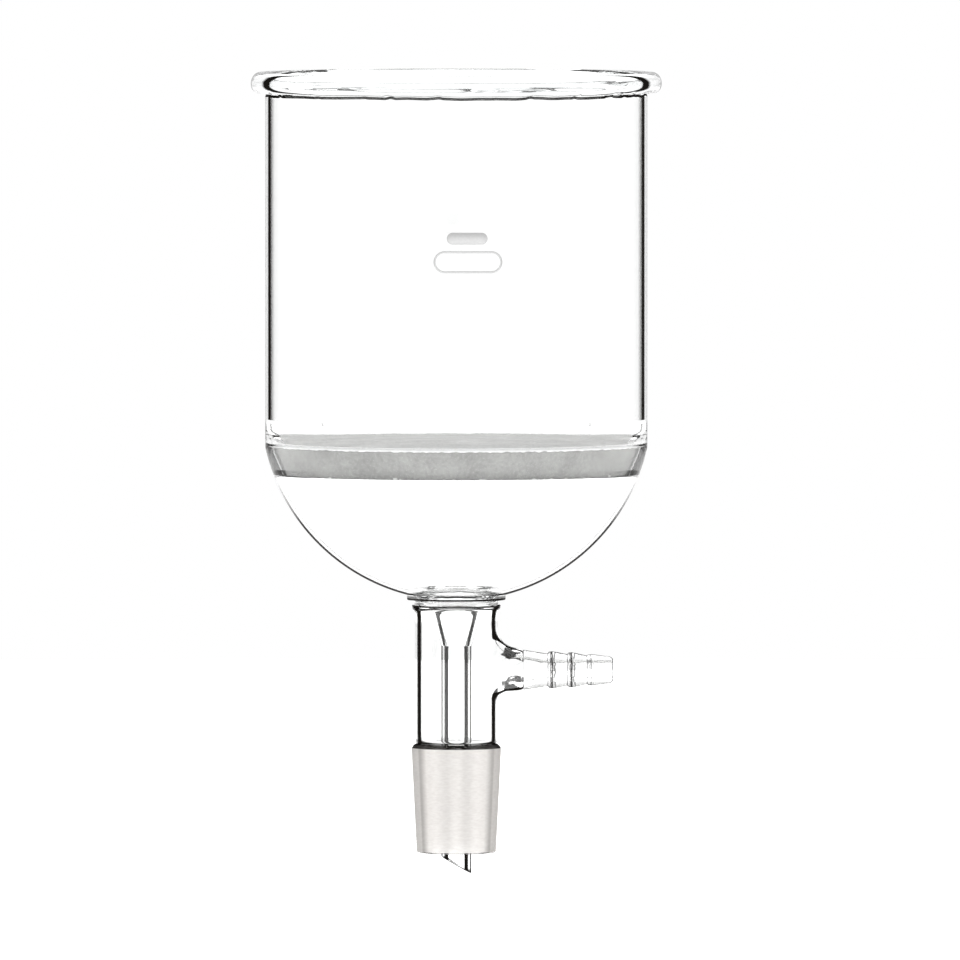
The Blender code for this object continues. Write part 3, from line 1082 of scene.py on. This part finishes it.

# Each list is in the order of OUTSIDE, INSIDE, CREASE, EXTRA and FILLET
# Every glass below has painted shade: dark lines mixed in by how edge on its surfaces are seen.
GLASS = [
    clear_glass(
        "clear_glass", outer_wall(BOWL_R, 0.0007, 0.00038, 0.0022, (1, 0.16, 0.3)), NO_LINE
    ),
    clear_glass("clear_glass_bore", NO_LINE, NO_LINE),
    crease_shade,
    clear_glass("foot_glass", silhouette(BOWL_R, 0.0001, 0.0005, 0.3), NO_LINE, ior=SKIN_IOR),
    clear_glass("fillet_glass", [(0.82, 0), (0.87, 0.95), (1.0, 0.95)], NO_LINE, ior=SKIN_IOR),
]
BEAD_TINT = (0.988, 0.997, 0.997, 1)
BEAD = [
    clear_glass(
        "bead_glass",
        outer_wall(RIM_HIGH.x, 0.0027, 0.0011, 0.0006, (1, 0.03, 0.35), edge=0.0001),
        NO_LINE, BEAD_TINT
    ),
    clear_glass("bead_glass_bore", silhouette(LINE_BORE_R, 0.0004, 0.0004, 1), NO_LINE, BEAD_TINT),
    crease_shade,
]
SKIN = [
    clear_glass("skin_glass", [(0.55, 0), (0.72, 0.3), (1.0, 0.3)], NO_LINE, ior=SKIN_IOR),
    clear_glass("skin_glass_bore", NO_LINE, [(0.5, 0), (0.9, 0.8), (1.0, 0.8)], ior=SKIN_IOR),
]
# The dome's painted dark outline fades with height, darkest towards the neck.
DOME = [
    clear_glass(
        "dome_glass",
        [(facing(DOME_R, 0.0012), 0), (facing(DOME_R, 0.0010), 0.32),
         (facing(DOME_R, 0.0005), 0.32), (facing(DOME_R, 0.00036), 0.97), (1.0, 0.97)],
        NO_LINE, fade=((0.047, 1), (0.0575, 0.3)),
    ),
    clear_glass("dome_glass_bore", silhouette(LINE_BORE_R, 0.0002, 0.0006, 1), NO_LINE),
]
TUBE = [
    clear_glass(
        "tube_glass", outer_wall(SLEEVE_R, 0.00058, 0.00060, 0.0002, (1, 0.02, 0.15)), NO_LINE
    ),
    clear_glass("tube_glass_bore", silhouette(SLEEVE_BORE_R, 0.0003, 0.0003, 1), NO_LINE),
    crease_shade,
]
STEM = [
    clear_glass(
        "stem_glass",
        outer_wall(STEM_R, 0.00080, 0.00066, 0.00005, (1, 0.02, 0.95), edge=0.00022), NO_LINE
    ),
    clear_glass("stem_glass_bore", silhouette(STEM_BORE_R, 0.0002, 0.0001, 1), NO_LINE),
    soft_crease_shade,
    clear_glass(
        "funnel_glass",
        outer_wall(LINE_FUNNEL_R, 0.00078, 0.00052, 0.0001, (1, 0.02, 0.4), edge=0.0001), NO_LINE
    ),
]
BARB = [
    clear_glass("barb_glass", silhouette(LINE_BARB_R, 0.00008, 0.0002, 0.7), NO_LINE),
    clear_glass("barb_glass_bore", silhouette(LINE_BARB_BORE_R, 0.00012, 0.0001, 0.7), NO_LINE),
    crease_shade,
    soft_crease_shade,
]
NECK = [
    clear_glass("neck_glass", [(0.90, 0), (1.0, 0.5)], NO_LINE),
    clear_glass("neck_glass_bore", [(0.90, 0), (1.0, 0.3)], NO_LINE),
    crease_shade,
]
GROUND = [
    ground_glass("ground_glass"),
    TUBE[1],
    crease_shade,
    # Painted dark bands at the cone's foot.
    clear_glass(
        "cone_foot_glass", [(0.20, 0), (0.26, 0.9), (0.44, 0.9), (0.50, 0.1), (1.0, 0.2)], NO_LINE
    ),
]

rim()
bowl()
disc()
disc_skin()
dome()
neck_seal()
stem()
sleeve()
connector()
cone()
marks()

world()
floor()
softbox("top_light", (0, 0, 2.0), (0, 0, 0.05), 2.0, 12)
camera()
bpy.context.scene.view_settings.view_transform = "Standard"
bpy.context.scene.cycles.max_bounces = 32
bpy.context.scene.cycles.transmission_bounces = 32
bpy.context.scene.cycles.transparent_max_bounces = 32

boxes = {"cad": cad_box, "visual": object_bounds()}
{name: [list(corner_) for corner_ in box] for name, box in boxes.items()}
